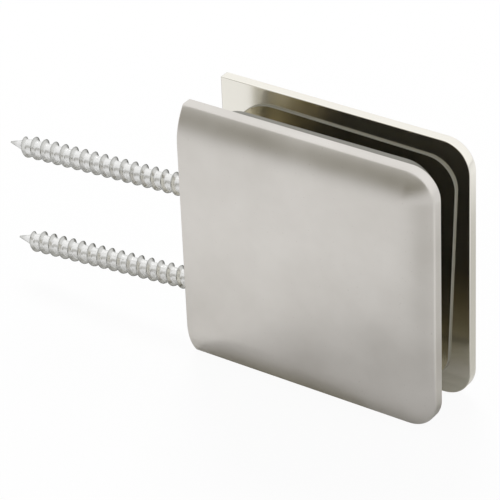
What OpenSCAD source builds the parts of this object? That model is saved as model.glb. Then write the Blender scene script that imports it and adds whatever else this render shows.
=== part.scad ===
// Glass panel clamp for a wall: a cast body (front plate and base block), a loose back plate
// drawn against the glass by one countersunk screw, a clear gasket on each inner face, and two
// long wood screws that run from the base block into the wall.
//
// Frame: the origin is the middle of the wall-side mounting face. +X runs from the wall towards
// the glass, +Y from the front plate to the back plate, and +Z up. All sizes are millimetres.

/* [Plates] */
// Length of each plate, from the wall towards the glass
plate_l = 50.8; // [44:0.2:80]
// Height of each plate
plate_h = 50.8; // [48:0.2:80]
// Thickness of each plate at its flat middle
plate_t = 4.5; // [4.2:0.1:7]
// Thickness left at the edge of the bevel
edge_t = 2.05; // [1.6:0.05:2.6]
// Width of the soft bevel, from the edge to the flat middle
bevel_w = 7; // [5:0.25:9]
// Radius of the two corners on the glass side
corner_r = 5.5; // [3:0.25:8]

/* [Glass and gaskets] */
// Thickness of the glass that the clamp grips
glass_t = 7.6; // [5.6:0.1:12.6]
// Thickness of each gasket
gasket_t = 0.9; // [0.6:0.1:2]
// Distance from the plate's top and bottom edges to a centred gasket
gasket_inset_z = 2.6; // [2.6:0.1:5]
// Distance from the plate's glass-side edge to the back gasket
gasket_inset_x = 2.9; // [2.5:0.1:5]
// Distance from the wall to the back gasket
gasket_wall_gap = 1.6; // [1:0.1:3]
// Corner radius of a gasket on the glass side
gasket_corner_r = 6; // [2:0.5:8]
// Radius of a gasket's big wall-side corner, above the block
gasket_ear_r = 9; // [4:0.5:9]
// Gap between a gasket and the base block
gasket_gap = 0.6; // [0.4:0.1:1.5]
// How far the front gasket is laid towards the glass from the back one
front_gasket_out = 1.6; // [0:0.1:2]
// How far the front gasket is laid above the back one
front_gasket_up = 2.5; // [0:0.1:2.6]
// Angle that the back gasket leans by, as it is laid by hand
back_gasket_lean = 1; // [0:0.1:1.5]

/* [Base block] */
// Depth of the base block, from the wall towards the glass
block_d = 10.5; // [9.5:0.1:13]
// Height of the base block
block_h = 31; // [30:0.2:34]
// Height of the block's middle above the plates' middle
block_z = -5.3; // [-7:0.1:0]
// Radius of the block's two corners on the glass side
block_r = 2; // [1:0.1:3]
// Depth of the seat in the back plate that the block's end stands in
seat_depth = 0.6; // [0.4:0.1:0.9]
// Gap round the block's end in its seat
seat_gap = 0.15; // [0.1:0.05:0.3]

/* [Wall screws] */
// Distance between the two wall screws
wall_screw_spacing = 19.4; // [18.6:0.1:20.4]
// Length of a wall screw, head to point
wall_screw_l = 50.8; // [38:0.2:64]
// Diameter over the thread
wall_screw_d = 4.2; // [3.8:0.1:4.4]
// Diameter at the root of the thread
wall_screw_core_d = 2.8; // [2.4:0.1:3]
// Diameter of the plain shank under the head
wall_screw_shank_d = 3.5; // [3.2:0.1:3.7]
// Distance from one turn of the thread to the next
thread_pitch = 2.28; // [1.8:0.04:2.6]
// Diameter of the countersunk head
wall_screw_head_d = 8.2; // [7.6:0.1:8.4]
// Angle of the countersunk head
wall_screw_head_angle = 82; // [80:2:90]
// Height of the straight rim of the head
wall_screw_rim = 0.35; // [0.2:0.05:0.5]
// Distance of the head's top from the wall
wall_screw_head_x = 5.5; // [5:0.1:6]
// Radial gap between the thread and its hole in the block
wall_screw_gap = 0.45; // [0.4:0.05:0.6]
// Gap between the head and its seat in the block
wall_screw_head_gap = 0.35; // [0.3:0.05:0.5]
// Angle by which the upper screw sags in its hole
upper_screw_sag = 3.3; // [0:0.1:5]
// Angle by which the lower screw sags in its hole
lower_screw_sag = 4.6; // [0:0.1:5]

/* [Clamp screw] */
// Diameter of the clamp screw
clamp_screw_d = 5; // [4:0.1:5.4]
// Diameter of its countersunk head
clamp_screw_head_d = 9.6; // [8.4:0.1:10]
// Depth of the head's top below the back plate's face
clamp_screw_sink = 0.2; // [0.1:0.1:0.5]
// Depth left under the screw in its blind hole
clamp_screw_end_gap = 1.7; // [0.5:0.1:3]
// Distance of the screw's axis from the wall
clamp_screw_x = 5.9; // [5.7:0.1:6.3]
// Width across the flats of its hexagon socket
socket_w = 3; // [2.5:0.1:3]
// Depth of its hexagon socket
socket_depth = 2; // [1.5:0.1:2.2]

/* [Hidden] */
$fn = 96;

// How far a cut runs past the face that it opens
PAST = 1;

NICKEL = "#c9c6c0";
VINYL = "#b9b5a4";
ZINC = "#dedede";

slot_w = glass_t + 2 * gasket_t;
slot_half = slot_w / 2;

// The bevel is a convex arc: tangent to the flat middle, and edge_t thick at the edge.
bevel_drop = plate_t - edge_t;
bevel_arc_r = (bevel_w ^ 2 + bevel_drop ^ 2) / (2 * bevel_drop);

block_low = block_z - block_h / 2;
block_high = block_z + block_h / 2;

gasket_h = plate_h - 2 * gasket_inset_z;
gasket_l = plate_l - gasket_inset_x - gasket_wall_gap;
// The step in a gasket that clears the block: its glass-side edge and its top.
step_x = block_d + gasket_gap;
step_z = block_high + gasket_gap;

// Each wall screw as its height in the block and its angle of sag: upper, then lower.
wall_screw_places = [
    [block_z + wall_screw_spacing / 2, upper_screw_sag],
    [block_z - wall_screw_spacing / 2, lower_screw_sag]];
wall_hole_d = wall_screw_d + 2 * wall_screw_gap;
wall_seat_d = wall_screw_head_d + 2 * wall_screw_head_gap;
head_slope = tan(wall_screw_head_angle / 2);
wall_head_h = (wall_screw_head_d - wall_screw_shank_d) / 2 / head_slope;
wall_seat_h = (wall_seat_d - wall_hole_d) / 2 / head_slope;

// Shape of the wood-screw thread. One turn's outline has THREAD_STEPS along the pitch, which
// stand THREAD_HEIGHT proud of the root, as shares of the pitch and of the thread's depth.
THREAD_SIDES = 16;
THREAD_STEPS = [0, 0.6, 0.74, 0.82];
THREAD_HEIGHT = [0, 0, 1, 1];
// Shares of a turn: over which the thread runs out, that the shank laps the core by, and that
// the core stands above the last turn.
THREAD_RUN_OUT = 0.5;
SHANK_LAP = 0.2;
CORE_TOP = 0.1;
thread_depth = (wall_screw_d - wall_screw_core_d) / 2;
point_l = 4.4;
point_r = 0.15;
thread_start = 0.5;
// Share of a turn over which the thread grows at the point
thread_grow = 0.5;
shank_l = 3;
neck = wall_screw_l - wall_screw_rim - wall_head_h;
thread_turns = floor((neck - shank_l - thread_start) / thread_pitch);
thread_end = thread_start + thread_turns * thread_pitch;
shank_start = thread_end - SHANK_LAP * thread_pitch;
cross_d = 4.6;
cross_wing = 1.1;
cross_depth = 2.2;

clamp_hole_gap = 0.2;
clamp_hole_d = clamp_screw_d + 2 * clamp_hole_gap;
clamp_thread_gap = 0.05;
clamp_head_gap = 0.1;
clamp_sink_d = clamp_screw_head_d + 2 * clamp_head_gap;
clamp_head_h = (clamp_screw_head_d - clamp_screw_d) / 2;
clamp_screw_l = plate_t - clamp_screw_sink + slot_w - clamp_screw_end_gap;

// What is cut away to round a corner at the origin, whose material lies in +x and +y.
module corner_waste(r) {
    difference() {
        translate([-PAST, -PAST]) square(r + PAST);
        translate([r, r]) circle(r);
    }
}

// A shape drawn in x and z, made depth thick from y = start towards +y.
module across_slot(start, depth) {
    translate([0, start + depth, 0]) rotate([90, 0, 0]) linear_extrude(depth) children();
}

// Section of a plate with one bevelled end, at x = len. The inner face is on y = 0.
module plate_section(len) {
    intersection() {
        square([len, plate_t]);
        union() {
            if (len > bevel_w) square([len - bevel_w, plate_t]);
            translate([len - bevel_w, plate_t - bevel_arc_r]) circle(bevel_arc_r, $fn = 360);
        }
    }
}

// The lower glass-side corner of a plate: its section, swept round the corner's own centre.
module plate_corner() {
    translate([plate_l - corner_r, 0, corner_r - plate_h / 2])
        rotate([-90, 0, 0]) rotate_extrude(angle = 90) plate_section(corner_r);
}

// One plate, with its inner face on y = 0 and its bevelled face towards +y. The top, the bottom
// and the glass side are bevelled, and the wall side is square.
module plate() {
    difference() {
        intersection() {
            rotate([0, 90, 0]) linear_extrude(plate_l) for (m = [0, 1])
                mirror([m, 0]) plate_section(plate_h / 2);
            translate([0, 0, -plate_h / 2]) linear_extrude(plate_h) plate_section(plate_l);
        }
        for (m = [0, 1]) mirror([0, 0, m])
            translate([plate_l - corner_r, -PAST, plate_h / 2 - corner_r])
                cube([corner_r + PAST, plate_t + 2 * PAST, corner_r + PAST]);
    }
    for (m = [0, 1]) mirror([0, 0, m]) plate_corner();
}

// Outline of the base block in x and z, grown by extra on every side.
module block_outline(extra = 0) {
    right = block_d + extra;
    translate([-extra, 0]) difference() {
        translate([0, block_low - extra]) square([right + extra, block_h + 2 * extra]);
        translate([right + extra, block_low - extra]) rotate(90) corner_waste(block_r);
        translate([right + extra, block_high + extra]) rotate(180) corner_waste(block_r);
    }
}

// Hole along X for one wall screw: clear bore, countersink, and a way in for the driver.
module wall_screw_hole() {
    seat_x = wall_screw_head_x - wall_screw_rim - wall_screw_head_gap;
    rotate([0, 90, 0]) {
        translate([0, 0, -PAST]) cylinder(d = wall_hole_d, h = block_d + 2 * PAST);
        translate([0, 0, seat_x - wall_seat_h])
            cylinder(d1 = wall_hole_d, d2 = wall_seat_d, h = wall_seat_h);
        translate([0, 0, seat_x]) cylinder(d = wall_seat_d, h = block_d);
    }
}

// The front plate and the base block, one casting.
module clamp_body() {
    block_w = edge_t + slot_w + seat_depth;
    color(NICKEL) difference() {
        union() {
            translate([0, -slot_half, 0]) mirror([0, 1, 0]) plate();
            across_slot(-slot_half - edge_t, block_w) block_outline();
        }
        for (place = wall_screw_places) translate([0, 0, place[0]]) wall_screw_hole();
        // Blind tapped hole for the clamp screw, at the screw's full diameter
        translate([clamp_screw_x, slot_half + seat_depth + PAST, block_z]) rotate([90, 0, 0])
            cylinder(d = clamp_screw_d + 2 * clamp_thread_gap, h = slot_w + seat_depth + PAST);
    }
}

// The loose plate: a seat for the block's end, and a countersunk hole for the clamp screw.
module back_plate() {
    color(NICKEL) difference() {
        translate([0, slot_half, 0]) plate();
        across_slot(slot_half - PAST, seat_depth + PAST) {
            block_outline(seat_gap);
            translate([-PAST, block_low - seat_gap]) square([2 * PAST, block_h + 2 * seat_gap]);
        }
        translate([clamp_screw_x, slot_half + plate_t, block_z]) rotate([90, 0, 0]) {
            cylinder(d = clamp_hole_d, h = plate_t + PAST);
            translate([0, 0, -PAST]) cylinder(d = clamp_sink_d, h = clamp_screw_sink + PAST);
            translate([0, 0, clamp_screw_sink])
                cylinder(d1 = clamp_sink_d, d2 = clamp_hole_d, h = (clamp_sink_d - clamp_hole_d) / 2);
        }
    }
}

// Outline of a gasket in x and z, moved by out and up, with a step that clears the base block.
module gasket_outline(out = 0, up = 0) {
    left = gasket_wall_gap + out;
    right = left + gasket_l;
    low = up - gasket_h / 2;
    high = up + gasket_h / 2;
    difference() {
        translate([left, low]) square([gasket_l, gasket_h]);
        translate([left - PAST, low - PAST]) square([step_x - left + PAST, step_z - low + PAST]);
        translate([step_x, low]) corner_waste(block_r);
        translate([right, low]) rotate(90) corner_waste(gasket_corner_r);
        translate([right, high]) rotate(180) corner_waste(gasket_corner_r);
        translate([left, high]) rotate(270) corner_waste(min(gasket_ear_r, step_x - left));
    }
}

module front_gasket() {
    color(VINYL) across_slot(-slot_half, gasket_t) gasket_outline(front_gasket_out, front_gasket_up);
}

// The back gasket leans about the foot of its step, and so away from the block.
module back_gasket() {
    foot = [step_x, -gasket_h / 2];
    color(VINYL) across_slot(slot_half - gasket_t, gasket_t)
        translate(foot) rotate(-back_gasket_lean) translate(-foot) gasket_outline();
}

// Radius of the screw's core at a distance s from its point.
function core_r(s) = point_r + (wall_screw_core_d / 2 - point_r) * min(1, s / point_l);

// Share of its full depth that the thread has, after so many turns and at a distance s from the
// point: it grows from nothing where it starts, and runs out just before the plain shank.
function thread_share(wound, s) = max(0, min(1,
    wound / thread_grow,
    (shank_start - s) / (THREAD_RUN_OUT * thread_pitch)));

// Point of the thread's skin on a row and a side. A row climbs by one pitch in a turn.
function thread_spot(row, side) =
    let (step = row % len(THREAD_STEPS),
         wound = floor(row / len(THREAD_STEPS)) + side / THREAD_SIDES,
         s = thread_start + (wound + THREAD_STEPS[step]) * thread_pitch,
         r = core_r(s) + thread_depth * THREAD_HEIGHT[step] * thread_share(wound, s),
         a = 360 * side / THREAD_SIDES)
    [r * cos(a), r * sin(a), s];

// Each pair of neighbours in a closed ring of points, joined to the point called centre.
function fan(ring, centre) =
    [for (i = [0:len(ring) - 1]) [centre, ring[i], ring[(i + 1) % len(ring)]]];

function backwards(list) = [for (i = [len(list) - 1:-1:0]) list[i]];

// The threaded length of a wood screw as one closed skin along +Z, with its point at the origin.
// The last side of a row meets the row that lies one turn above it.
module thread() {
    steps = len(THREAD_STEPS);
    top = thread_turns * steps;
    function index(row, side) =
        side == THREAD_SIDES ? index(row + steps, 0)
        : row <= top ? row * THREAD_SIDES + side
        : (top + 1) * THREAD_SIDES + row - top - 1;
    function rim(row) = concat(
        [for (side = [0:THREAD_SIDES]) index(row, side)],
        [for (step = [steps - 1:-1:1]) index(row + step, 0)]);
    skin = concat(
        [for (row = [0:top], side = [0:THREAD_SIDES - 1]) thread_spot(row, side)],
        [for (row = [top + 1:top + steps]) thread_spot(row, 0)]);
    polyhedron(
        points = concat(skin, [[0, 0, 0], [0, 0, thread_end + (1 + CORE_TOP) * thread_pitch]]),
        faces = concat(
            [for (row = [0:top - 1], side = [0:THREAD_SIDES - 1], half = [0, 1])
                half == 0
                    ? [index(row, side), index(row + 1, side), index(row + 1, side + 1)]
                    : [index(row, side), index(row + 1, side + 1), index(row, side + 1)]],
            fan(rim(0), len(skin)),
            fan(backwards(rim(top)), len(skin) + 1)));
}

// Cross recess in a screw's head, sunk from the origin towards -Z.
module cross_recess() {
    intersection() {
        translate([0, 0, -cross_depth])
            cylinder(d1 = cross_d / 3, d2 = cross_d * 4 / 3, h = 1.5 * cross_depth);
        for (a = [0, 90]) rotate(a) cube([2 * cross_d, cross_wing, 3 * cross_depth], center = true);
    }
}

// One wall screw along +Z, with its point at the origin.
module wall_screw() {
    shank_r = wall_screw_shank_d / 2;
    head_r = wall_screw_head_d / 2;
    thread();
    difference() {
        rotate_extrude() polygon([
            [0, shank_start], [shank_r, shank_start], [shank_r, neck],
            [head_r, neck + wall_head_h], [head_r, wall_screw_l], [0, wall_screw_l]]);
        translate([0, 0, wall_screw_l]) cross_recess();
    }
}

// A sagging screw turns about the middle of its hole.
module wall_screws() {
    sag_x = wall_screw_head_x / 2;
    color(ZINC) for (place = wall_screw_places)
        translate([sag_x, 0, place[0]]) rotate([0, 90 - place[1], 0])
            translate([0, 0, wall_screw_head_x - sag_x - wall_screw_l]) wall_screw();
}

module clamp_screw() {
    color(ZINC) translate([clamp_screw_x, slot_half + plate_t - clamp_screw_sink, block_z])
        rotate([90, 0, 0]) difference() {
            union() {
                cylinder(d1 = clamp_screw_head_d, d2 = clamp_screw_d, h = clamp_head_h);
                cylinder(d = clamp_screw_d, h = clamp_screw_l);
            }
            translate([0, 0, -PAST])
                cylinder(d = socket_w / cos(30), h = socket_depth + PAST, $fn = 6);
        }
}

clamp_body();
back_plate();
front_gasket();
back_gasket();
wall_screws();
clamp_screw();
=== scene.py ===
"""Looks of the glass panel clamp: a satin nickel plate with its base block, the loose back plate,
a clear vinyl gasket on each inner face, two bright wood screws and the countersunk clamp screw.

Frame: the origin is the middle of the wall-side face, +X runs to the glass, +Y to the back plate
and +Z up. Sizes of the object are in millimetres, and those of the stage are in metres.
"""

import math
from functools import partial

import bmesh
import bpy
from mathutils import Matrix, Vector
from mathutils.geometry import delaunay_2d_cdt


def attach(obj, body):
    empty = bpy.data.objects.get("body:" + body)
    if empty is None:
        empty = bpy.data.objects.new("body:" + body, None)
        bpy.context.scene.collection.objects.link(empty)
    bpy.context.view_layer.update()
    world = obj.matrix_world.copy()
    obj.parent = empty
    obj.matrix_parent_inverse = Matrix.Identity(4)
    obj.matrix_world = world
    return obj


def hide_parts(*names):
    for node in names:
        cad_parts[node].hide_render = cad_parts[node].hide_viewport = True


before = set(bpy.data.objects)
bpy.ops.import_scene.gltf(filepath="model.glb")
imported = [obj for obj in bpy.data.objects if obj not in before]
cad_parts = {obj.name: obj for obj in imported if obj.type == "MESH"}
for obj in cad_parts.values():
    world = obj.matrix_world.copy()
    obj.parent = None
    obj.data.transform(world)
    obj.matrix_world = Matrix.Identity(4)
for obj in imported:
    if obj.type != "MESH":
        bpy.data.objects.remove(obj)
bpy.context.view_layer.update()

MM = 0.001

# How far a cutter reaches past the faces that it opens
CLEAR = 1.0

# Plates: EDGE_T is their thickness at the rim, PLATE_T in the flat middle, and SLOT_HALF the
# distance from the middle of the slot to each inner face
PLATE_L = 50.8
PLATE_H = 50.8
PLATE_T = 4.5
EDGE_T = 2.05
BEVEL_W = 7.0
CORNER_R = 5.5
LEAST_CORNER_R = 0.9
SLOT_HALF = 4.7

# Rounded arrises of the plates, and the angle that stays a crisp crease
INNER_ARRIS = 0.18
OUTER_ARRIS = 0.32
WALL_ARRIS = 0.22
CUT_ARRIS = 0.12
CREASE = 50

# Steps along the plates' outline and section
STRAIGHT_STEPS = 24
SIDE_STEPS = 20
CORNER_STEPS = 16
ARRIS_STEPS = 5
BEVEL_STEPS = 22
LEAST_STEP = 0.05

# Base block and its holes. BLOCK_Z is its middle, BLOCK_ROOT how deep it runs into the front
# plate, and SINK_X where a countersink is widest.
BLOCK_D = 10.5
BLOCK_H = 31.0
BLOCK_Z = -5.3
BLOCK_R = 2.0
BLOCK_ROOT = 0.8
SEAT_DEPTH = 0.6
SEAT_GAP = 0.15
BORE_D = 5.1
SINK_D = 8.9
SINK_X = 4.8
SINK_SLOPE = math.tan(math.radians(41))
TAPPED_D = 5.1

# Gaskets: one outline serves both. The front sheet is moved out and up, and its top edge drops
# towards the wall. The back sheet is thinner and smaller, and it leans and narrows downwards.
GASKET_INSET_Z = 2.6
GASKET_INSET_X = 2.9
GASKET_WALL_GAP = 1.6
GASKET_R = 6.0
GASKET_EAR_R = 9.0
GASKET_GAP = 0.6
GASKET_FILM = 0.02
GASKET_ARRIS = 0.06
FRONT_SHEET_T = 1.3
FRONT_OUT = 1.6
FRONT_UP = 2.5
FRONT_DROP = 0.25
BACK_SHEET_T = 0.5
BACK_SHEET_IN = 0.3
BACK_LEAN = 1.0
BACK_TAPER = 1.3

# Wood screws. HEAD_X is where a head's top lies, and a sag is in degrees.
SCREW_L = 50.8
THREAD_D = 4.2
CORE_D = 2.8
SHANK_D = 3.5
PITCH = 2.28
TURNS = 18
THREAD_START = 0.5
POINT_L = 4.4
POINT_D = 0.3
HEAD_D = 8.2
HEAD_RIM = 0.35
HEAD_X = 5.5
HEAD_ARRIS = 0.05
SPACING = 19.4
UPPER_SAG = 3.3
LOWER_SAG = 4.6

# The thread's fin rises and falls over these shares of a pitch
FIN_RISE = (0.585, 0.755)
FIN_FALL = (0.785, 0.995)

# Turns that the thread takes to grow, that its last turn lacks, and that the shank covers
THREAD_GROW = 0.5
LAST_TURN_CUT = 0.1
SHANK_OVERLAP = 0.2

# The thread's grid: sides to a turn, rows across it, spare turns that close each end, and the
# bare root's share of a pitch and of the rows
THREAD_SIDES = 40
THREAD_ROWS = 14
SPARE_TURNS = 2
ROOT_SHARE = 0.55
ROOT_ROWS = 0.25

# How much painted shade greys the screw's point at its tip, and how fast that fades along the
# taper
POINT_SHADE = 0.55
POINT_FADE = 1.2

# Cross recess in the wood screws' heads, and how far its cutter rises over them
RECESS_W = 4.6
RECESS_DEPTH = 2.2
RECESS_RISE = 0.5
WING_T = 1.1

# Clamp screw
CLAMP_D = 5.0
CLAMP_HEAD_D = 9.6
CLAMP_SINK = 0.2
CLAMP_L = 12.0
CLAMP_X = 5.9
CLAMP_BORE_GAP = 0.2
CLAMP_HEAD_GAP = 0.1
CLAMP_CHAMFER = 0.4
CLAMP_ARRIS = 0.06
SOCKET_W = 3.0
SOCKET_DEPTH = 2.0

# Stage: the floor and the cards on it lie just under the plates' lower edges, and a card fades out
# from CARD_SOFT_FROM of the way to its edge
FLOOR_SIZE = 3.0
FLOOR_Z = -(PLATE_H / 2 + 0.02) * MM
CARD_Z = -(PLATE_H / 2 + 0.01) * MM
CARD_COLOUR = (0.10, 0.085, 0.03, 1)
CARD_SOFT_FROM = 0.45
ROOM_LIGHT = 0.58
KEY_SPOT = (-0.40, 0.58, 0.72)
KEY_SIZE = 0.5
KEY_POWER = 6.5

# Camera, its angles in degrees
CAMERA_AZIMUTH = 35.52
CAMERA_ELEVATION = 31.27
CAMERA_ROLL = -2.52
CAMERA_DISTANCE = 0.5371
CAMERA_AIM = (0.00811, 0, -0.00529)
CAMERA_LENS = 217.06


def mm(*values):
    return Vector(values) * MM


# ---------------------------------------------------------------- nodes


def new_group(name, inputs, outputs):
    """A shader node group with its sockets, and its input and output nodes."""
    tree = bpy.data.node_groups.new(name, "ShaderNodeTree")
    for label, kind, default in inputs:
        socket = tree.interface.new_socket(label, in_out="INPUT", socket_type=kind)
        if default is not None:
            socket.default_value = default
    for label, kind in outputs:
        tree.interface.new_socket(label, in_out="OUTPUT", socket_type=kind)
    return tree, tree.nodes.new("NodeGroupInput"), tree.nodes.new("NodeGroupOutput")


def add(tree, kind, links=(), **settings):
    """A node with settings; links are (input, source socket) or (input, value)."""
    node = tree.nodes.new(kind)
    for key, setting in settings.items():
        setattr(node, key, setting)
    for key, source in links:
        if isinstance(source, bpy.types.NodeSocket):
            tree.links.new(source, node.inputs[key])
        else:
            node.inputs[key].default_value = source
    return node


def maths(tree, operation, *values):
    return add(tree, "ShaderNodeMath", list(enumerate(values)), operation=operation).outputs[0]


def spread(tree, mask, low, high, start=0.3, end=0.7):
    """A number that goes from low to high as the mask goes from start to end."""
    return add(tree, "ShaderNodeMapRange",
               [("Value", mask), ("From Min", start), ("From Max", end), ("To Min", low),
                ("To Max", high)]).outputs["Result"]


def grain_group():
    """Fine scratches that run along one axis: their height, and a soft cloudy mask."""
    tree, inp, out = new_group(
        "brushed_grain",
        [("Vector", "NodeSocketVector", None), ("Across", "NodeSocketFloat", 3000.0),
         ("Along", "NodeSocketFloat", 120.0), ("Cloud", "NodeSocketFloat", 90.0)],
        [("Height", "NodeSocketFloat"), ("Cloud", "NodeSocketFloat")])
    scale = add(tree, "ShaderNodeCombineXYZ",
                [("X", inp.outputs["Along"]), ("Y", inp.outputs["Across"]),
                 ("Z", inp.outputs["Across"])])
    stretched = add(tree, "ShaderNodeVectorMath",
                    [(0, inp.outputs["Vector"]), (1, scale.outputs[0])], operation="MULTIPLY")
    lines = add(tree, "ShaderNodeTexNoise",
                [("Vector", stretched.outputs[0]), ("Scale", 1.0), ("Detail", 3.0),
                 ("Roughness", 0.6)])
    cloud = add(tree, "ShaderNodeTexNoise",
                [("Vector", inp.outputs["Vector"]), ("Scale", inp.outputs["Cloud"]),
                 ("Detail", 3.0), ("Roughness", 0.55)])
    tree.links.new(lines.outputs["Fac"], out.inputs["Height"])
    tree.links.new(cloud.outputs["Fac"], out.inputs["Cloud"])
    return tree


def speckle_group():
    """Small pits and dust: a sparse mask on the noise's peaks, wider for a larger amount."""
    tree, inp, out = new_group(
        "fine_speckle",
        [("Vector", "NodeSocketVector", None), ("Scale", "NodeSocketFloat", 1500.0),
         ("Amount", "NodeSocketFloat", 0.2)],
        [("Mask", "NodeSocketFloat")])
    noise = add(tree, "ShaderNodeTexNoise",
                [("Vector", inp.outputs["Vector"]), ("Scale", inp.outputs["Scale"]),
                 ("Detail", 1.0)])
    start = maths(tree, "SUBTRACT", 0.78, inp.outputs["Amount"])
    mask = add(tree, "ShaderNodeMapRange",
               [("Value", noise.outputs["Fac"]), ("From Min", start), ("From Max", 0.8)],
               interpolation_type="SMOOTHSTEP")
    tree.links.new(mask.outputs["Result"], out.inputs["Mask"])
    return tree


GRAIN = grain_group()
SPECKLE = speckle_group()


# ---------------------------------------------------------------- materials


def principled(name):
    """A material with its node tree, its shader and the object's coordinates."""
    material = bpy.data.materials.new(name)
    material.use_nodes = True
    tree = material.node_tree
    coords = add(tree, "ShaderNodeTexCoord").outputs["Object"]
    return material, tree, tree.nodes["Principled BSDF"], coords


def grained(tree, coords, across, along, cloud):
    """The brushed grain's height and cloud, at scales that count waves to the metre."""
    grain = add(tree, "ShaderNodeGroup",
                [("Vector", coords), ("Across", across), ("Along", along), ("Cloud", cloud)],
                node_tree=GRAIN)
    return grain.outputs["Height"], grain.outputs["Cloud"]


def speckled(tree, coords, scale, amount):
    return add(tree, "ShaderNodeGroup",
               [("Vector", coords), ("Scale", scale), ("Amount", amount)],
               node_tree=SPECKLE).outputs["Mask"]


def two_tone(tree, mask, *tones):
    """A colour that goes from one tone to the other with the mask; a tone may be a socket."""
    first, second = (tone if isinstance(tone, bpy.types.NodeSocket) else (*tone, 1)
                     for tone in tones)
    return add(tree, "ShaderNodeMix", [("Factor", mask), (6, first), (7, second)],
               data_type="RGBA").outputs[2]


def bump(tree, height, strength, microns):
    return add(tree, "ShaderNodeBump",
               [("Height", height), ("Strength", strength), ("Distance", microns * 1e-6)]
               ).outputs["Normal"]


def surface(tree, shader, base, roughness, normal):
    """Links what changes over a surface to its shader."""
    tree.links.new(base, shader.inputs["Base Color"])
    tree.links.new(roughness, shader.inputs["Roughness"])
    tree.links.new(normal, shader.inputs["Normal"])


def satin_nickel():
    """The plates' outer faces and the front plate's rim: warm grey, finely brushed along X."""
    material, tree, shader, coords = principled("satin_nickel")
    height, cloud = grained(tree, coords, across=5200.0, along=260.0, cloud=70.0)
    patches = spread(tree, cloud, 0.0, 1.0)
    brushed = two_tone(tree, patches, (0.672, 0.645, 0.606), (0.768, 0.742, 0.706))
    specks = speckled(tree, coords, scale=2600.0, amount=0.08)
    surface(tree, shader, two_tone(tree, specks, brushed, (0.64, 0.61, 0.57)),
            spread(tree, cloud, 0.31, 0.41), bump(tree, height, 0.25, 4))
    shader.inputs["Metallic"].default_value = 1.0
    return material


def polished_nickel():
    """The plates' inner faces, the back plate's rim and the block: bright, with a faint wave."""
    material, tree, shader, coords = principled("polished_nickel")
    _, cloud = grained(tree, coords, across=900.0, along=700.0, cloud=60.0)
    surface(tree, shader, two_tone(tree, cloud, (0.875, 0.850, 0.775), (0.915, 0.892, 0.825)),
            spread(tree, cloud, 0.16, 0.22), bump(tree, cloud, 0.2, 20))
    shader.inputs["Metallic"].default_value = 1.0
    return material


def clear_vinyl():
    """The gaskets: clear, faintly grey, with a soft skin."""
    material, tree, shader, coords = principled("clear_vinyl")
    _, cloud = grained(tree, coords, across=1200.0, along=1200.0, cloud=160.0)
    surface(tree, shader, two_tone(tree, cloud, (0.70, 0.67, 0.57), (0.78, 0.75, 0.65)),
            spread(tree, cloud, 0.04, 0.10), bump(tree, cloud, 0.15, 20))
    shader.inputs["IOR"].default_value = 1.45
    shader.inputs["Transmission Weight"].default_value = 0.98
    return material


def cut_vinyl(name, dark, light):
    """A gasket's sheared edges: frosted, so they catch the light."""
    material, tree, shader, coords = principled(name)
    height, cloud = grained(tree, coords, across=2500.0, along=2500.0, cloud=500.0)
    surface(tree, shader, two_tone(tree, cloud, dark, light),
            spread(tree, cloud, 0.35, 0.55), bump(tree, height, 0.3, 20))
    shader.inputs["IOR"].default_value = 1.45
    shader.inputs["Transmission Weight"].default_value = 0.05
    return material


def turned_metal(name):
    """Metal with fine turning marks and no colour yet: the material's parts and its cloud."""
    material, tree, shader, coords = principled(name)
    height, cloud = grained(tree, coords, across=900.0, along=4200.0, cloud=600.0)
    tree.links.new(spread(tree, cloud, 0.16, 0.28), shader.inputs["Roughness"])
    tree.links.new(bump(tree, height, 0.2, 6), shader.inputs["Normal"])
    shader.inputs["Specular Tint"].default_value = (0.15, 0.15, 0.14, 1)
    return material, tree, shader, coords, cloud


def pitted(tree, shader, coords, base):
    """Gives the shader the base colour with small dull pits."""
    pits = speckled(tree, coords, scale=1800.0, amount=0.10)
    tree.links.new(two_tone(tree, pits, base, (0.55, 0.54, 0.52)), shader.inputs["Base Color"])


def bright_zinc():
    """The wood screws: white in the core. The grey on the thread's flanks and the darker crest are
    painted shade, not a change in the metal.
    """
    material, tree, shader, coords, cloud = turned_metal("bright_zinc")
    bright = two_tone(tree, cloud, (0.90, 0.90, 0.89), (0.97, 0.97, 0.96))
    # Painted shade: a mask stored on the thread greys its flanks and darkens its crest.
    flank_shade = add(tree, "ShaderNodeAttribute", attribute_name="painted_flank_shade").outputs["Fac"]
    side = spread(tree, flank_shade, 0.0, 1.0, 0.03, 0.30)
    crest = spread(tree, flank_shade, 0.0, 1.0, 0.6, 1.0)
    shaded = two_tone(tree, side, bright, (0.66, 0.66, 0.64))
    pitted(tree, shader, coords, two_tone(tree, crest, shaded, (0.46, 0.46, 0.44)))
    tree.links.new(spread(tree, side, 0.45, 1.0, 0.0, 1.0), shader.inputs["Metallic"])
    return material


def turned_steel():
    """The clamp screw: a plain grey steel."""
    material, tree, shader, coords, cloud = turned_metal("turned_steel")
    pitted(tree, shader, coords, two_tone(tree, cloud, (0.60, 0.60, 0.59), (0.70, 0.70, 0.69)))
    shader.inputs["Metallic"].default_value = 1.0
    return material


SATIN = satin_nickel()
POLISHED = polished_nickel()
VINYL = clear_vinyl()
# Both edges are one frosted vinyl in two tones: the front copy is painted darker, as painted shade
# against the key light that falls on its top edge.
FRONT_CUT_PAINTED_DARK = cut_vinyl("front_cut_vinyl_painted_dark", (0.18, 0.175, 0.15), (0.24, 0.235, 0.205))
BACK_CUT = cut_vinyl("back_cut_vinyl", (0.36, 0.35, 0.30), (0.44, 0.43, 0.37))
ZINC = bright_zinc()
STEEL = turned_steel()


# ---------------------------------------------------------------- mesh tools


def linked(name, data):
    """A new object at the origin, in the scene."""
    obj = bpy.data.objects.new(name, data)
    bpy.context.scene.collection.objects.link(obj)
    return obj


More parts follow.
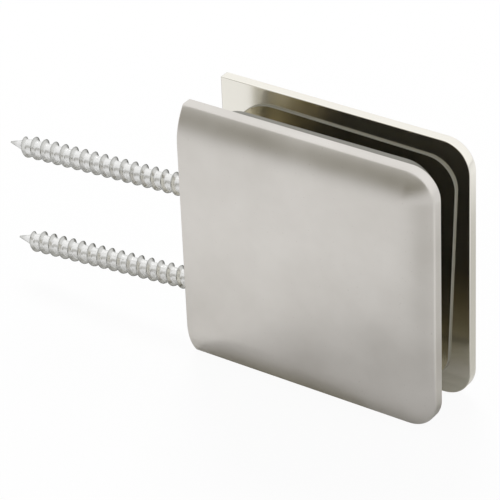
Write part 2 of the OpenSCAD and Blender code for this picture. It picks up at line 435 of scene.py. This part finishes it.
def plain_mesh(name, bm, materials):
    """A new object from a bmesh in millimetres."""
    bmesh.ops.remove_doubles(bm, verts=bm.verts, dist=1e-5)
    bmesh.ops.dissolve_degenerate(bm, edges=bm.edges, dist=1e-5)
    bmesh.ops.recalc_face_normals(bm, faces=bm.faces)
    bmesh.ops.scale(bm, vec=(MM,) * 3, verts=bm.verts)
    mesh = bpy.data.meshes.new(name)
    bm.to_mesh(mesh)
    bm.free()
    for material in materials:
        mesh.materials.append(material)
    return linked(name, mesh)


def baked(obj):
    """Applies every modifier of obj and returns it with a plain mesh."""
    graph = bpy.context.evaluated_depsgraph_get()
    graph.update()
    mesh = bpy.data.meshes.new_from_object(obj.evaluated_get(graph))
    obj.modifiers.clear()
    obj.data = mesh
    return obj


def combined(obj, operation, others):
    """Cuts the other solids from obj, or adds them to it, and leaves one closed solid."""
    for other in others:
        modifier = obj.modifiers.new("solid", "BOOLEAN")
        modifier.operation = operation
        modifier.solver = "MANIFOLD"
        modifier.object = other
    baked(obj)
    for other in others:
        bpy.data.objects.remove(other)
    return obj


def cut(obj, *cutters):
    return combined(obj, "DIFFERENCE", cutters)


def soften(obj, width, angle=40):
    """Rounds the arrises that are sharper than the angle, and shades the rest smoothly."""
    bevel = obj.modifiers.new("arris", "BEVEL")
    bevel.width = width * MM
    bevel.segments = 3
    bevel.limit_method = "ANGLE"
    bevel.angle_limit = math.radians(angle)
    baked(obj)
    return shade(obj)


def shade(obj):
    """Shades smoothly over the rounded arrises, and keeps any crease that is left crisp."""
    obj.data.polygons.foreach_set("use_smooth", [True] * len(obj.data.polygons))
    obj.data.set_sharp_from_angle(angle=math.radians(CREASE))
    normals = obj.modifiers.new("normals", "WEIGHTED_NORMAL")
    normals.weight = 80
    normals.keep_sharp = True
    return baked(obj)


def placed(obj, matrix):
    """Moves the vertices, so that the object itself stays at the origin."""
    obj.data.transform(matrix)
    return obj


def arc(centre, radius, start, end, steps):
    """Points on an arc, from start to end in degrees, both ends included."""
    return [(centre[0] + radius * math.cos(math.radians(start + (end - start) * k / steps)),
             centre[1] + radius * math.sin(math.radians(start + (end - start) * k / steps)))
            for k in range(steps + 1)]


def rounding(radius, steps=3):
    """(inset, depth) pairs of a quarter round, from the side to the face."""
    return [(radius * (1 - math.cos(math.pi / 2 * k / steps)),
             radius * (1 - math.sin(math.pi / 2 * k / steps))) for k in range(steps + 1)]


def inset_loop(loop, amount):
    """A closed loop of points moved inwards by amount. The loop runs anticlockwise."""
    moved = []
    for k, here in enumerate(loop):
        back, ahead = Vector(loop[k - 1]), Vector(loop[(k + 1) % len(loop)])
        here = Vector(here)
        a, b = (here - back).normalized(), (ahead - here).normalized()
        normal = Vector((-(a + b).y, (a + b).x)).normalized()
        cos_half = max(0.5, normal.dot(Vector((-a.y, a.x))))
        moved.append(tuple(here + normal * (amount / cos_half)))
    return moved


def lathe(name, profile, material, sides=64):
    """A solid of revolution about +Z from (radius, height) points, closed at both ends."""
    bm = bmesh.new()
    rings = []
    for radius, height in profile:
        if radius < 1e-6:
            rings.append([bm.verts.new((0, 0, height))] * sides)
        else:
            rings.append([bm.verts.new((radius * math.cos(2 * math.pi * k / sides),
                                        radius * math.sin(2 * math.pi * k / sides), height))
                          for k in range(sides)])
    for low, high in zip(rings, rings[1:]):
        for k in range(sides):
            corners = []
            for vert in (low[k], low[(k + 1) % sides], high[(k + 1) % sides], high[k]):
                if vert not in corners:
                    corners.append(vert)
            if len(corners) > 2:
                bm.faces.new(corners)
    return plain_mesh(name, bm, [material])


def band(bm, first, second, slot=0, closed=True):
    """Faces between two rings of vertices, in a material slot."""
    for k in range(len(first) - (not closed)):
        ahead = (k + 1) % len(first)
        bm.faces.new((first[k], first[ahead], second[ahead], second[k])).material_index = slot


def fill_flat(bm, loop, slot):
    """Fills a flat loop of vertices, seen in x and z, with faces in a material slot."""
    edges = [(k, (k + 1) % len(loop)) for k in range(len(loop))]
    result = delaunay_2d_cdt([Vector((v.co.x, v.co.z)) for v in loop], edges, [], 1, 1e-7)
    origin = [group[0] for group in result[3]]
    for face in result[2]:
        corners = [loop[origin[k]] for k in face]
        if len(set(corners)) == len(corners):
            bm.faces.new(corners).material_index = slot


def prism(name, loop, low, high, material):
    """A sharp-edged slab: a loop in x and z, from y = low to y = high."""
    bm = bmesh.new()
    ends = [[bm.verts.new((x, y, z)) for x, z in loop] for y in (low, high)]
    band(bm, *ends)
    for end in ends:
        bm.faces.new(end)
    return plain_mesh(name, bm, [material])


def slab(name, loop, low, high, radius, face, edge):
    """A slab with rounded arrises: a loop in x and z, from y = low to y = high."""
    bm = bmesh.new()
    levels = [(inset, low + depth) for inset, depth in reversed(rounding(radius))]
    levels += [(inset, high - depth) for inset, depth in rounding(radius)]
    rings = [[bm.verts.new((x, y, z)) for x, z in inset_loop(loop, inset)]
             for inset, y in levels]
    for first, second in zip(rings, rings[1:]):
        band(bm, first, second, 1)
    fill_flat(bm, rings[0], 0)
    fill_flat(bm, rings[-1], 0)
    return plain_mesh(name, bm, [face, edge])


# ---------------------------------------------------------------- plates


def plate_path(inset):
    """The three bevelled sides at an inset, from the wall's foot round to the wall's top."""
    radius = max(CORNER_R - inset, LEAST_CORNER_R)
    far, half = PLATE_L - inset, PLATE_H / 2 - inset
    run = far - radius - WALL_ARRIS
    path = [(WALL_ARRIS + run * k / STRAIGHT_STEPS, -half) for k in range(STRAIGHT_STEPS)]
    path += arc((far - radius, radius - half), radius, -90, 0, CORNER_STEPS)
    path += [(far, (half - radius) * (2 * k / SIDE_STEPS - 1)) for k in range(1, SIDE_STEPS)]
    path += arc((far - radius, half - radius), radius, 0, 90, CORNER_STEPS)
    path += [(WALL_ARRIS + run * (STRAIGHT_STEPS - k) / STRAIGHT_STEPS, half)
             for k in range(1, STRAIGHT_STEPS + 1)]
    return path


def plate_profile():
    """(inset, height) points of the bevelled edge, from the inner face to the flat middle."""
    drop = PLATE_T - EDGE_T
    radius = (BEVEL_W ** 2 + drop ** 2) / (2 * drop)
    reach = 2 * math.atan(drop / BEVEL_W)
    points = rounding(INNER_ARRIS, 4)[::-1] + [(0, EDGE_T * 0.5)]
    # The outer arris: a curve that leaves the rim, heads for its corner and lands on the bevel
    rim = EDGE_T - OUTER_ARRIS
    land = (OUTER_ARRIS * math.cos(reach), EDGE_T + OUTER_ARRIS * math.sin(reach))
    for k in range(ARRIS_STEPS + 1):
        t = k / ARRIS_STEPS
        points.append((t * t * land[0],
                       (1 - t) ** 2 * rim + 2 * t * (1 - t) * EDGE_T + t * t * land[1]))
    # The bevel: a crowned arc that ends level with the flat middle
    for k in range(1, BEVEL_STEPS + 1):
        turn = reach * (1 - k / BEVEL_STEPS)
        inset = BEVEL_W - radius * math.sin(turn)
        if inset > points[-1][0] + LEAST_STEP:
            points.append((inset, PLATE_T - radius * (1 - math.cos(turn))))
    return points


def plate(name, side):
    """A bevelled plate in front of the slot (side -1) or behind it (side 1). Its inner face is
    polished, and so is the rim of the one behind."""
    bm = bmesh.new()
    profile = plate_profile()
    rings = [[bm.verts.new((x, h, z)) for x, z in plate_path(inset)] for inset, h in profile]
    for first, second, (_, height) in zip(rings, rings[1:], profile[1:]):
        band(bm, first, second, int(side > 0 and height < EDGE_T), closed=False)
    fill_flat(bm, rings[0], 1)
    fill_flat(bm, rings[-1], 0)
    # The wall end: the outline of the section, rounded in towards the wall
    outline = [ring[0] for ring in rings] + [ring[-1] for ring in reversed(rings)]
    section = [(vert.co.z, vert.co.y) for vert in outline]
    previous = outline
    for inset, depth in rounding(WALL_ARRIS)[1:]:
        ring = [bm.verts.new((depth, y, z)) for z, y in inset_loop(section, -inset)]
        band(bm, previous, ring)
        previous = ring
    bm.faces.new(previous)
    for vert in bm.verts:
        vert.co.y = side * (SLOT_HALF + vert.co.y)
    return plain_mesh(name, bm, [SATIN, POLISHED])


def block_loop(extra=0.0, open_wall=0.0):
    """The base block's outline in x and z, grown by extra and reaching past the wall side."""
    right = BLOCK_D + extra
    low, high = BLOCK_Z - BLOCK_H / 2 - extra, BLOCK_Z + BLOCK_H / 2 + extra
    loop = [(-open_wall, low)]
    loop += arc((right - BLOCK_R, low + BLOCK_R), BLOCK_R, -90, 0, 10)
    loop += arc((right - BLOCK_R, high - BLOCK_R), BLOCK_R, 0, 90, 10)
    return loop + [(-open_wall, high)]


def on_clamp_axis(obj):
    """Turns a piece made along +Z to +Y, on the clamp screw's axis."""
    turn = Matrix.Rotation(-math.pi / 2, 4, "X")
    return placed(obj, Matrix.Translation(mm(CLAMP_X, 0, BLOCK_Z)) @ turn)


def screw_hole(height):
    """Cutter for one wall screw, along X: bore, countersink and the way in for the driver."""
    sink = (SINK_D - BORE_D) / 2 / SINK_SLOPE
    profile = [(0, -CLEAR), (BORE_D / 2, -CLEAR), (BORE_D / 2, SINK_X - sink),
               (SINK_D / 2, SINK_X), (SINK_D / 2, BLOCK_D + CLEAR), (0, BLOCK_D + CLEAR)]
    turn = Matrix.Rotation(math.pi / 2, 4, "Y")
    return placed(lathe("hole", profile, POLISHED, 48),
                  Matrix.Translation(mm(0, 0, height)) @ turn)


def base_block():
    """The block between the plates, with the two wall screws' holes and the tapped one."""
    end = SLOT_HALF + SEAT_DEPTH
    block = prism("block", block_loop(), -SLOT_HALF - BLOCK_ROOT, end, POLISHED)
    tapped = lathe("hole", [(0, -SLOT_HALF), (TAPPED_D / 2, -SLOT_HALF),
                            (TAPPED_D / 2, end + CLEAR), (0, end + CLEAR)], POLISHED, 48)
    cut(block, screw_hole(BLOCK_Z + SPACING / 2), screw_hole(BLOCK_Z - SPACING / 2),
        on_clamp_axis(tapped))
    # The same two slots as the plate's, so that the union keeps each face's finish
    block.data.materials.clear()
    for material in (SATIN, POLISHED):
        block.data.materials.append(material)
    block.data.polygons.foreach_set("material_index", [1] * len(block.data.polygons))
    return block


def clamp_body():
    """The front plate and the base block, one casting."""
    body = combined(plate("clamp_body_cast", -1), "UNION", [base_block()])
    soften(body, CUT_ARRIS)
    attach(body, "root")
    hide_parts("clamp_body")


def clamp_hole():
    """Cutter for the clamp screw's countersunk hole through the back plate."""
    bore, top = CLAMP_D / 2 + CLAMP_BORE_GAP, CLAMP_HEAD_D / 2 + CLAMP_HEAD_GAP
    start, face = SLOT_HALF - CLEAR, SLOT_HALF + PLATE_T
    profile = [(0, start), (bore, start), (bore, face - CLAMP_SINK - (top - bore)),
               (top, face - CLAMP_SINK), (top, face + CLEAR), (0, face + CLEAR)]
    return on_clamp_axis(lathe("hole", profile, SATIN))


def back_plate():
    """The loose plate, with the seat for the block's end and the clamp screw's hole."""
    seat = prism("seat", block_loop(SEAT_GAP, CLEAR), SLOT_HALF - CLEAR, SLOT_HALF + SEAT_DEPTH,
                 POLISHED)
    obj = cut(plate("back_plate_loose", 1), seat, clamp_hole())
    soften(obj, CUT_ARRIS)
    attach(obj, "root")
    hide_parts("back_plate")


# ---------------------------------------------------------------- gaskets


def gasket_loop(out=0.0, up=0.0):
    """A gasket's outline, anticlockwise in x and z, with a step that clears the block."""
    left = GASKET_WALL_GAP + out
    right = PLATE_L - GASKET_INSET_X + out
    low, high = up - PLATE_H / 2 + GASKET_INSET_Z, up + PLATE_H / 2 - GASKET_INSET_Z
    step_x = BLOCK_D + GASKET_GAP
    step_z = BLOCK_Z + BLOCK_H / 2 + GASKET_GAP
    ear = min(GASKET_EAR_R, step_x - left)
    loop = arc((step_x + BLOCK_R, low + BLOCK_R), BLOCK_R, 180, 270, 8)
    loop += arc((right - GASKET_R, low + GASKET_R), GASKET_R, 270, 360, 20)
    loop += arc((right - GASKET_R, high - GASKET_R), GASKET_R, 0, 90, 20)
    loop += arc((left + ear, high - ear), ear, 90, 180, 24)
    return loop + [(left, step_z), (step_x, step_z)]


def front_loop():
    """The front gasket's outline. Its top edge runs down a little towards the wall."""
    step = BLOCK_Z + BLOCK_H / 2 + GASKET_GAP
    top = PLATE_H / 2 - GASKET_INSET_Z + FRONT_UP
    return [(x, z - FRONT_DROP * (1 - x / PLATE_L) * max(0.0, (z - step) / (top - step)))
            for x, z in gasket_loop(FRONT_OUT, FRONT_UP)]


def back_loop():
    """The back gasket's outline. It narrows downwards, and leans about its foot by the block."""
    foot_x, foot_z = BLOCK_D + GASKET_GAP, GASKET_INSET_Z - PLATE_H / 2
    lean = math.radians(-BACK_LEAN)
    loop = []
    for x, z in inset_loop(gasket_loop(), BACK_SHEET_IN):
        across = max(0.0, (x - foot_x) / (PLATE_L - foot_x))
        down = (PLATE_H / 2 - GASKET_INSET_Z - z) / (PLATE_H - 2 * GASKET_INSET_Z)
        dx, dz = x - foot_x - BACK_TAPER * across * down, z - foot_z
        loop.append((foot_x + dx * math.cos(lean) - dz * math.sin(lean),
                     foot_z + dx * math.sin(lean) + dz * math.cos(lean)))
    return loop


def gasket(name, node, loop, low, high, edge):
    """A gasket sheet with soft edges that stands in for its solid."""
    obj = shade(slab(name, loop, low, high, GASKET_ARRIS, VINYL, edge))
    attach(obj, "root")
    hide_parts(node)


def gaskets():
    """The two clear sheets, each a film's thickness off its plate."""
    gasket("front_gasket_sheet", "front_gasket", front_loop(),
           -SLOT_HALF + GASKET_FILM, -SLOT_HALF + FRONT_SHEET_T, FRONT_CUT_PAINTED_DARK)
    gasket("back_gasket_sheet", "back_gasket", back_loop(),
           SLOT_HALF - BACK_SHEET_T, SLOT_HALF - GASKET_FILM, BACK_CUT)


# ---------------------------------------------------------------- screws


def recess_wing(name, turn):
    """Cutter for one wing of the cross recess, narrower at its bottom and turned about Z."""
    bm = bmesh.new()
    corners = []
    # Half its length and half its thickness, at the bottom and over the top
    for height, reach, half in ((SCREW_L - RECESS_DEPTH, RECESS_W * 0.22, WING_T * 0.32),
                                (SCREW_L + RECESS_RISE, RECESS_W * 0.56, WING_T * 0.5)):
        for x, y in ((-reach, -half), (reach, -half), (reach, half), (-reach, half)):
            corners.append(bm.verts.new((x * math.cos(turn) - y * math.sin(turn),
                                         x * math.sin(turn) + y * math.cos(turn), height)))
    for face in ((3, 2, 1, 0), (4, 5, 6, 7), (0, 1, 5, 4), (1, 2, 6, 5), (2, 3, 7, 6),
                 (3, 0, 4, 7)):
        bm.faces.new([corners[k] for k in face])
    return plain_mesh(name, bm, [ZINC])


def screw_head():
    """A wood screw's shank and countersunk head along +Z, its point at the origin. Small steps
    ease the corners."""
    shank, head = SHANK_D / 2, HEAD_D / 2
    start = THREAD_START + (TURNS - SHANK_OVERLAP) * PITCH
    rim = SCREW_L - HEAD_RIM
    neck = rim - (head - shank) / SINK_SLOPE
    profile = [(0, start), (CORE_D / 2, start), (shank, start + 0.35), (shank, neck - 0.4),
               (shank + 0.06, neck), (head - 0.08, rim - 0.06), (head, rim + 0.04),
               (head, SCREW_L - 0.1), (head - 0.1, SCREW_L), (0, SCREW_L)]
    obj = lathe("wood_screw_pair", profile, ZINC, 72)
    cut(obj, recess_wing("wing_a", 0), recess_wing("wing_b", math.pi / 2))
    return soften(obj, HEAD_ARRIS, CREASE)


def thread_fields(tree, size):
    """Where each point of a flat grid goes to make the thread, and how much painted shade it gets,
    more up the flanks and near the point.

    The grid's X runs along the helix and its Y across one turn, with rows wide apart on the root
    and close together on the fin."""
    calc = partial(maths, tree)
    place = add(tree, "ShaderNodeSeparateXYZ",
                [(0, add(tree, "GeometryNodeInputPosition").outputs[0])])
    u = calc("ADD", place.outputs["X"], 0.5)
    row = calc("ADD", place.outputs["Y"], 0.5)
    on_root = calc("MINIMUM", calc("MULTIPLY", row, ROOT_SHARE / ROOT_ROWS), ROOT_SHARE)
    past_root = calc("MAXIMUM", calc("SUBTRACT", row, ROOT_ROWS), 0.0)
    v = calc("ADD", on_root,
             calc("MULTIPLY", past_root, (1 - ROOT_SHARE) / (1 - ROOT_ROWS)))

    all_turns = calc("ADD", size["Turns"], 2.0 * SPARE_TURNS)
    turn = calc("SUBTRACT", calc("MULTIPLY", u, all_turns), SPARE_TURNS)
    angle = calc("MULTIPLY", turn, 2 * math.pi)
    raw = calc("ADD", size["Thread Start"],
               calc("MULTIPLY", calc("ADD", turn, v), size["Pitch"]))
    end = calc("ADD", size["Thread Start"],
               calc("MULTIPLY", calc("SUBTRACT", size["Turns"], LAST_TURN_CUT), size["Pitch"]))
    along = calc("MINIMUM", calc("MAXIMUM", raw, 0.0), end)

    taper = calc("MINIMUM", calc("DIVIDE", along, size["Point Length"]), 1.0)
    tip = POINT_D / 2
    core = calc("ADD", tip, calc("MULTIPLY", taper, calc("SUBTRACT", size["Root Radius"], tip)))
    fin = calc("SUBTRACT", spread(tree, v, 0.0, 1.0, *FIN_RISE),
               spread(tree, v, 0.0, 1.0, *FIN_FALL))
    grown = calc("DIVIDE", turn, THREAD_GROW)
    left = calc("DIVIDE", calc("SUBTRACT", end, along), size["Run Out"])
    share = calc("MAXIMUM", 0.0, calc("MINIMUM", 1.0, calc("MINIMUM", grown, left)))
    skin = calc("ADD", core,
                calc("MULTIPLY", calc("MULTIPLY", size["Thread Depth"], fin), share))
    # Rows well past either end run in to the axis, and close the thread there
    past = calc("ABSOLUTE", calc("SUBTRACT", raw, along))
    inside = calc("LESS_THAN", past, calc("MULTIPLY", size["Pitch"], 0.5))
    radius = calc("MULTIPLY", skin, inside)
    spot = add(tree, "ShaderNodeCombineXYZ",
               [("X", calc("MULTIPLY", radius, calc("COSINE", angle))),
                ("Y", calc("MULTIPLY", radius, calc("SINE", angle))), ("Z", along)])
    # Painted shade greys the point at its tip, about as much as the flanks, and fades along the
    # taper
    point = calc("SUBTRACT", POINT_SHADE, calc("MULTIPLY", taper, POINT_FADE))
    flank_shade = calc("MAXIMUM", point, calc("MULTIPLY", fin, share))
    return spot.outputs[0], flank_shade


def wound_thread(tree, size):
    """The thread along +Z in metres, closed, with the painted shade of its flanks and point stored
    for the material.
    """
    spot, flank_shade = thread_fields(tree, size)
    grid = add(tree, "GeometryNodeMeshGrid",
               [("Size X", 1.0), ("Size Y", 1.0), ("Vertices Y", THREAD_ROWS + 1),
                ("Vertices X", (TURNS + 2 * SPARE_TURNS) * THREAD_SIDES + 1)])
    marked = add(tree, "GeometryNodeStoreNamedAttribute",
                 [("Geometry", grid.outputs["Mesh"]), ("Name", "painted_flank_shade"),
                  ("Value", flank_shade)], data_type="FLOAT", domain="POINT")
    wound = add(tree, "GeometryNodeSetPosition",
                [("Geometry", marked.outputs[0]), ("Position", spot)])
    closed = add(tree, "GeometryNodeMergeByDistance",
                 [("Geometry", wound.outputs[0]), ("Distance", 0.0005)])
    smooth = add(tree, "GeometryNodeSetShadeSmooth", [("Geometry", closed.outputs[0])])
    return add(tree, "GeometryNodeTransform",
               [("Geometry", smooth.outputs[0]), ("Scale", (MM,) * 3)]).outputs[0]


def sagging(tree, size, screw, offset, sag):
    """The screw laid along X at a share of the spacing, drooping about its hole's middle."""
    calc = partial(maths, tree)
    pivot = calc("MULTIPLY", size["Head Depth"], 0.5)
    back = calc("SUBTRACT", pivot, size["Length"])
    drop = add(tree, "ShaderNodeCombineXYZ", [("Z", calc("MULTIPLY", back, MM))])
    lowered = add(tree, "GeometryNodeTransform",
                  [("Geometry", screw), ("Translation", drop.outputs[0])])
    tilt = calc("MULTIPLY", calc("SUBTRACT", 90.0, size[sag]), math.pi / 180)
    turned = add(tree, "ShaderNodeCombineXYZ", [("Y", tilt)])
    height = calc("ADD", size["Middle Height"], calc("MULTIPLY", size["Spacing"], offset))
    where = add(tree, "ShaderNodeCombineXYZ",
                [("X", calc("MULTIPLY", pivot, MM)), ("Z", calc("MULTIPLY", height, MM))])
    return add(tree, "GeometryNodeTransform",
               [("Geometry", lowered.outputs[0]), ("Translation", where.outputs[0]),
                ("Rotation", turned.outputs[0])]).outputs[0]


def screw_pair_tree():
    """Geometry nodes: a thread is wound and joined to the head that comes in, and set twice."""
    tree = bpy.data.node_groups.new("wood_screw_pair", "GeometryNodeTree")
    tree.is_modifier = True
    sizes = [("Pitch", PITCH), ("Turns", TURNS), ("Root Radius", CORE_D / 2),
             ("Thread Depth", (THREAD_D - CORE_D) / 2), ("Point Length", POINT_L),
             ("Thread Start", THREAD_START), ("Run Out", 0.5 * PITCH), ("Spacing", SPACING),
             ("Middle Height", BLOCK_Z), ("Upper Sag", UPPER_SAG), ("Lower Sag", LOWER_SAG),
             ("Length", SCREW_L), ("Head Depth", HEAD_X)]
    tree.interface.new_socket("Geometry", in_out="INPUT", socket_type="NodeSocketGeometry")
    for label, default in sizes:
        tree.interface.new_socket(label, in_out="INPUT",
                                  socket_type="NodeSocketFloat").default_value = default
    tree.interface.new_socket("Material", in_out="INPUT", socket_type="NodeSocketMaterial")
    tree.interface.new_socket("Geometry", in_out="OUTPUT", socket_type="NodeSocketGeometry")
    size = tree.nodes.new("NodeGroupInput").outputs
    out = tree.nodes.new("NodeGroupOutput")

    screw = add(tree, "GeometryNodeMeshBoolean", operation="UNION", solver="MANIFOLD")
    tree.links.new(wound_thread(tree, size), screw.inputs[1])
    tree.links.new(size["Geometry"], screw.inputs[1])
    pair = add(tree, "GeometryNodeJoinGeometry")
    for offset, sag in ((0.5, "Upper Sag"), (-0.5, "Lower Sag")):
        tree.links.new(sagging(tree, size, screw.outputs[0], offset, sag), pair.inputs[0])
    real = add(tree, "GeometryNodeRealizeInstances", [("Geometry", pair.outputs[0])])
    finish = add(tree, "GeometryNodeSetMaterial",
                 [("Geometry", real.outputs[0]), ("Material", size["Material"])])
    tree.links.new(finish.outputs[0], out.inputs[0])
    return tree


def wood_screws():
    """The two wood screws, in one piece of two solids."""
    obj = screw_head()
    modifier = obj.modifiers.new("pair", "NODES")
    modifier.node_group = screw_pair_tree()
    for item in modifier.node_group.interface.items_tree:
        if item.in_out == "INPUT" and item.name == "Material":
            modifier[item.identifier] = ZINC
    baked(obj)
    shade(obj)
    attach(obj, "root")
    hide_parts("wall_screws")


def clamp_screw():
    """The countersunk socket screw that draws the plates together. Small steps ease its
    corners."""
    top = SLOT_HALF + PLATE_T - CLAMP_SINK
    head, body = CLAMP_HEAD_D / 2, CLAMP_D / 2
    neck = top - (head - body)
    foot = top - CLAMP_L
    profile = [(0, foot), (body - CLAMP_CHAMFER, foot), (body, foot + CLAMP_CHAMFER),
               (body, neck - 0.15), (body + 0.08, neck + 0.04), (head - 0.12, top - 0.14),
               (head, top - 0.06), (head - 0.08, top), (0, top)]
    obj = lathe("clamp_screw_head", profile, STEEL, 72)
    corner, bottom = SOCKET_W / math.sqrt(3), top - SOCKET_DEPTH
    cut(obj, lathe("socket", [(0, bottom), (corner, bottom), (corner, top + CLEAR),
                              (0, top + CLEAR)], STEEL, 6))
    soften(obj, CLAMP_ARRIS, CREASE)
    on_clamp_axis(obj)
    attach(obj, "root")
    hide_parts("clamp_screw")


# ---------------------------------------------------------------- stage


def flat_sheet(name, size):
    """A square sheet that faces up; size is from its middle to a side."""
    bm = bmesh.new()
    bmesh.ops.create_grid(bm, x_segments=1, y_segments=1, size=size)
    mesh = bpy.data.meshes.new(name)
    bm.to_mesh(mesh)
    bm.free()
    return linked(name, mesh)


def stage_tree(obj, name):
    """An empty material on a stage object: its node tree."""
    material = bpy.data.materials.new(name)
    material.use_nodes = True
    material.node_tree.nodes.clear()
    obj.data.materials.append(material)
    return material.node_tree


def mixed_surface(tree, mask, first, second):
    """Ends the tree in two shaders, mixed by the mask."""
    both = add(tree, "ShaderNodeMixShader",
               [(0, mask), (1, first.outputs[0]), (2, second.outputs[0])])
    add(tree, "ShaderNodeOutputMaterial", [("Surface", both.outputs[0])])


def background_mask(tree, camera=1.0, glossy=1.0, seen_through=1.0):
    """How much of the plain white background a ray sees, by the kind of the ray."""
    path = add(tree, "ShaderNodeLightPath")
    direct, mirrored, through = (
        maths(tree, "MULTIPLY", path.outputs[label], share)
        for label, share in (("Is Camera Ray", camera), ("Is Glossy Ray", glossy),
                             ("Is Transmission Ray", seen_through)))
    return maths(tree, "MAXIMUM", maths(tree, "MAXIMUM", direct, mirrored), through)


def floor():
    """A white floor that keeps a soft shadow of the clamp."""
    obj = placed(flat_sheet("floor", FLOOR_SIZE), Matrix.Translation((0, 0, FLOOR_Z)))
    tree = stage_tree(obj, "white_floor")
    mask = background_mask(tree, camera=0.94, glossy=0.10, seen_through=0.3)
    diffuse = add(tree, "ShaderNodeBsdfDiffuse", [("Color", (0.9, 0.9, 0.9, 1))])
    glow = add(tree, "ShaderNodeEmission", [("Color", (1, 1, 1, 1)), ("Strength", 1.0)])
    mixed_surface(tree, mask, diffuse, glow)


def studio():
    """A plain white room, and a soft key lamp from the back left that no mirror shows."""
    world = bpy.data.worlds.new("studio")
    bpy.context.scene.world = world
    world.use_nodes = True
    tree = world.node_tree
    background = tree.nodes["Background"]
    background.inputs["Color"].default_value = (1, 1, 1, 1)
    strength = spread(tree, background_mask(tree), ROOM_LIGHT, 1.0, 0.0, 1.0)
    tree.links.new(strength, background.inputs["Strength"])

    lamp = bpy.data.lights.new("key", "AREA")
    lamp.shape = "DISK"
    lamp.size = KEY_SIZE
    lamp.energy = KEY_POWER
    key = linked("key", lamp)
    key.location = KEY_SPOT
    key.rotation_euler = (-Vector(KEY_SPOT)).to_track_quat("-Z", "Y").to_euler()
    key.visible_camera = False
    key.visible_glossy = False


def shade_card(name, centre, width, height, level, facing=None, through=False):
    """A dark, slightly warm card with a soft edge. Only mirror rays see it, and rays through
    clear vinyl if through is set. It shades the metal as a dim room does. Level is how solid
    its middle is."""
    obj = flat_sheet(name, 0.5)
    obj.data.transform(Matrix.Diagonal((width, height, 1, 1)))
    turn = Vector(facing or centre).to_track_quat("Z", "Y").to_matrix().to_4x4()
    obj.matrix_world = Matrix.Translation(centre) @ turn
    tree = stage_tree(obj, name)
    coords = add(tree, "ShaderNodeTexCoord").outputs["Object"]
    scaled = add(tree, "ShaderNodeVectorMath",
                 [(0, coords), (1, (2 / width, 2 / height, 0))], operation="MULTIPLY")
    length = add(tree, "ShaderNodeVectorMath", [(0, scaled.outputs[0])], operation="LENGTH")
    edge = add(tree, "ShaderNodeMapRange",
               [("Value", length.outputs["Value"]), ("From Min", CARD_SOFT_FROM),
                ("From Max", 1.0), ("To Min", level), ("To Max", 0.0)],
               interpolation_type="SMOOTHSTEP")
    clear = add(tree, "ShaderNodeBsdfTransparent")
    dark = add(tree, "ShaderNodeEmission", [("Color", CARD_COLOUR), ("Strength", 1.0)])
    mixed_surface(tree, edge.outputs["Result"], clear, dark)
    obj.visible_camera = False
    obj.visible_diffuse = False
    obj.visible_shadow = False
    obj.visible_transmission = through


def floor_card(name, x, y, width, depth, level, through=False):
    """A shade card that lies on the floor, facing up: painted shade on the floor near the object,
    which the metal mirrors.
    """
    shade_card(name, (x, y, CARD_Z), width, depth, level, (0, 0, 1), through)


def cards():
    """The cards in front of the object, and those on the floor that its steep faces mirror."""
    shade_card("front_card", (-0.12, -0.85, 0.34), 2.6, 1.05, 0.76)
    shade_card("camera_card", (0.33, -0.75, 0.32), 0.62, 0.62, 1.0)
    floor_card("low_card", 0.020, 0.000, 0.096, 0.028, 0.52)
    floor_card("screw_card", -0.028, -0.006, 0.062, 0.050, 0.35)
    floor_card("rim_card", 0.068, 0.036, 0.080, 0.110, 0.42)
    floor_card("gap_card", -0.034, 0.056, 0.070, 0.070, 0.80, through=True)
    shade_card("corner_card", (-0.06, -0.80, 0.20), 0.50, 0.34, 1.0)
    floor_card("side_card", 0.080, -0.066, 0.075, 0.080, 0.32)


def camera():
    """The camera: front right and above, with a long lens."""
    azimuth, elevation, roll = (
        math.radians(angle) for angle in (CAMERA_AZIMUTH, CAMERA_ELEVATION, CAMERA_ROLL))
    back = Vector((math.sin(azimuth) * math.cos(elevation),
                   -math.cos(azimuth) * math.cos(elevation), math.sin(elevation)))
    right = Vector((math.cos(azimuth), math.sin(azimuth), 0))
    up = back.cross(right)
    right, up = (math.cos(roll) * right + math.sin(roll) * up,
                 math.cos(roll) * up - math.sin(roll) * right)
    data = bpy.data.cameras.new("camera")
    data.sensor_width = 36
    data.lens = CAMERA_LENS
    data.clip_start = 0.01
    data.clip_end = 20
    obj = linked("camera", data)
    turn = Matrix((right, up, back)).transposed().to_4x4()
    spot = Vector(CAMERA_AIM) + CAMERA_DISTANCE * back
    obj.matrix_world = Matrix.Translation(spot) @ turn
    bpy.context.scene.camera = obj


clamp_body()
back_plate()
gaskets()
wood_screws()
clamp_screw()

floor()
studio()
cards()
camera()
bpy.context.scene.view_settings.view_transform = "Standard"
